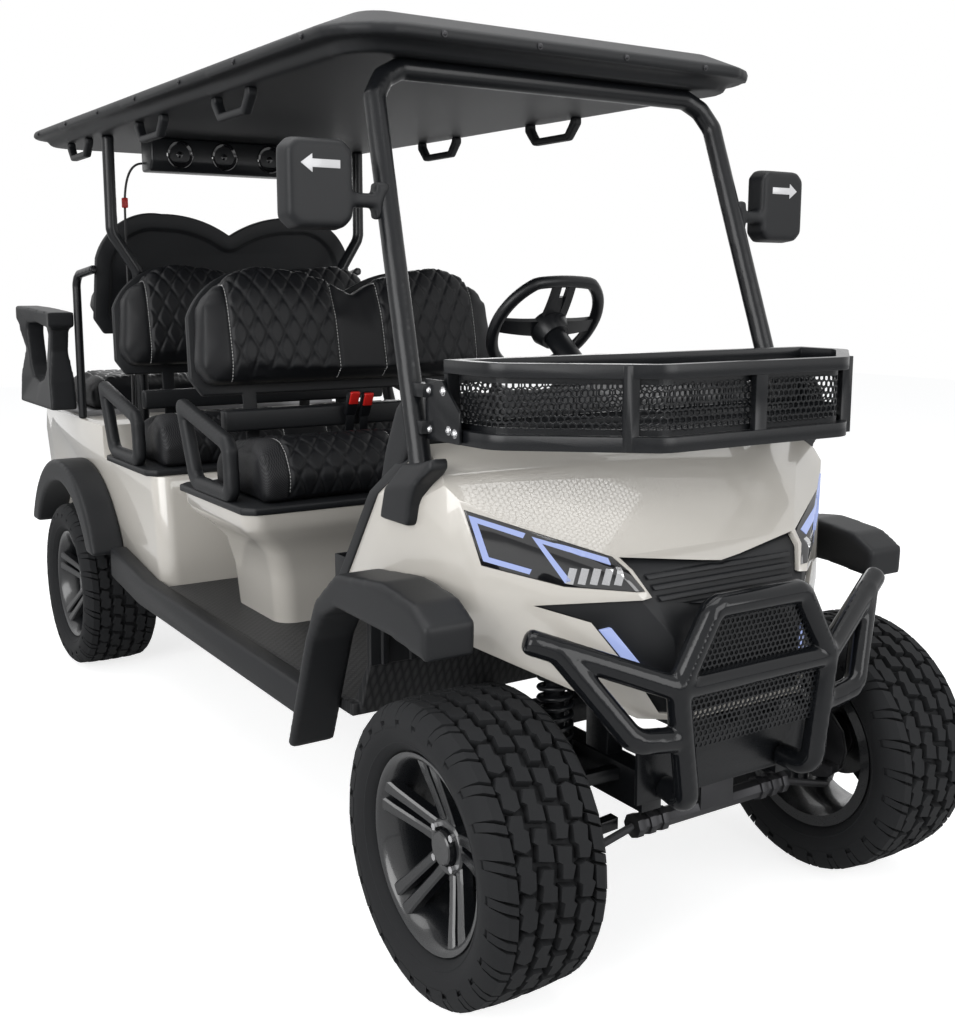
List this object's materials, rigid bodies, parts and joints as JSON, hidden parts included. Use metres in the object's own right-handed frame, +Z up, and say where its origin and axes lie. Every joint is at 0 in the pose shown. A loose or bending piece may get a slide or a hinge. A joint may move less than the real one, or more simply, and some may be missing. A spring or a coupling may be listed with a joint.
{
  "type": "six-seat utility cart",
  "caption": "Lifted utility cart with two forward benches, a rear-facing flip bench, canopy roof, front basket, bull bar and steered all-terrain wheels.",
  "frame": {"origin": "on the ground, on the centre plane, under the middle of the overall length", "axes": "+X forward, +Y to the driver's side (left), +Z up"},
  "size_m": [3.64, 1.43, 1.953],
  "materials": {
    "body_paint": "gloss champagne paint",
    "black_plastic": "satin black moulded plastic",
    "black_tube": "black powder coat",
    "vinyl": "black quilted vinyl",
    "lens": "clear lamp lens",
    "red_lens": "red lamp lens",
    "battery_case": "matt",
    "cord_rubber": "matt black",
    "coil_steel": "black coil spring",
    "wheel_grip": "soft black",
    "deck_metal": "brushed deck",
    "tyre_rubber": "matt rubber",
    "wheel_alloy": "satin black alloy"
  },
  "bodies": {
    "chassis": {"chassis_frame": "black_tube", "floor_board": "black_plastic", "wheel_liners": "black_plastic", "rocker_panels": "black_plastic", "front_cowl": "body_paint", "grille_panel": "black_plastic", "headlamps": "lens", "marker_lamps": "lens", "bull_bar": "black_tube", "bar_screens": "black_tube", "skid_plate": "black_tube", "front_hoop": "black_tube", "pillar_boots": "black_plastic", "mirrors": "black_plastic", "canopy": "black_plastic", "rear_hoop": "black_tube", "roof_grips": "black_plastic", "sound_bar": "black_plastic", "speaker_lead": "cord_rubber", "basket_frame": "black_tube", "basket_panels": "black_tube", "basket_brackets": "black_tube", "dashboard": "black_plastic", "pedals": "black_tube", "steering_column": "black_tube", "front_seat_cushion": "vinyl", "front_seat_back": "vinyl", "middle_seat_cushion": "vinyl", "middle_seat_back": "vinyl", "seat_shells": "black_plastic", "seat_armrests": "black_plastic", "seat_pans": "black_plastic", "front_pedestal": "body_paint", "battery_pack": "battery_case", "rear_body": "body_paint", "fender_flares": "black_plastic", "rear_seat_back": "vinyl", "rear_shell": "black_plastic", "rear_frame": "black_tube", "rear_armrests": "black_plastic", "rear_footrest": "black_tube", "tail_lamps": "red_lens", "front_arms": "black_tube", "front_shocks": "coil_steel", "steering_rack": "black_tube", "rear_axle": "black_tube", "leaf_springs": "black_tube"},
    "steering_wheel": {"steering_wheel": "wheel_grip"},
    "knuckle_left": {"knuckle_left": "black_tube"},
    "knuckle_right": {"knuckle_right": "black_tube"},
    "rear_flip": {"cargo_deck": "deck_metal", "rear_seat_cushion": "vinyl"},
    "wheel_front_left": {"tyre_front_left": "tyre_rubber", "rim_front_left": "wheel_alloy"},
    "wheel_front_right": {"tyre_front_right": "tyre_rubber", "rim_front_right": "wheel_alloy"},
    "wheel_rear_left": {"tyre_rear_left": "tyre_rubber", "rim_rear_left": "wheel_alloy"},
    "wheel_rear_right": {"tyre_rear_right": "tyre_rubber", "rim_rear_right": "wheel_alloy"}
  },
  "joints": [
    {"name": "front_left_steer", "type": "hinge", "parent": "chassis", "child": "knuckle_left", "pos_m": [1.528, 0.405, 0.292], "axis": [0, 0, 1], "range_deg": [-32, 32]},
    {"name": "front_right_steer", "type": "hinge", "parent": "chassis", "child": "knuckle_right", "pos_m": [1.528, -0.405, 0.292], "axis": [0, 0, 1], "range_deg": [-32, 32]},
    {"name": "steering_wheel_turn", "type": "hinge", "parent": "chassis", "child": "steering_wheel", "pos_m": [0.69, 0.268, 1.252], "axis": [-0.788, 0, 0.6157], "range_deg": [-260, 260]},
    {"name": "front_left_spin", "type": "hinge", "parent": "knuckle_left", "child": "wheel_front_left", "pos_m": [1.528, 0.515, 0.292], "axis": [0, 1, 0], "continuous": true},
    {"name": "front_right_spin", "type": "hinge", "parent": "knuckle_right", "child": "wheel_front_right", "pos_m": [1.528, -0.515, 0.292], "axis": [0, 1, 0], "continuous": true},
    {"name": "rear_left_spin", "type": "hinge", "parent": "chassis", "child": "wheel_rear_left", "pos_m": [-0.982, 0.515, 0.292], "axis": [0, 1, 0], "continuous": true},
    {"name": "rear_right_spin", "type": "hinge", "parent": "chassis", "child": "wheel_rear_right", "pos_m": [-0.982, -0.515, 0.292], "axis": [0, 1, 0], "continuous": true},
    {"name": "rear_seat_flip", "type": "hinge", "parent": "chassis", "child": "rear_flip", "pos_m": [-1.55, 0, 0.892], "axis": [0, -1, 0], "range_deg": [0, 180]}
  ],
  "couplings": [
    {"joint": "front_right_steer", "follows": "front_left_steer", "ratio": 1},
    {"joint": "steering_wheel_turn", "follows": "front_left_steer", "ratio": 8}
  ]
}
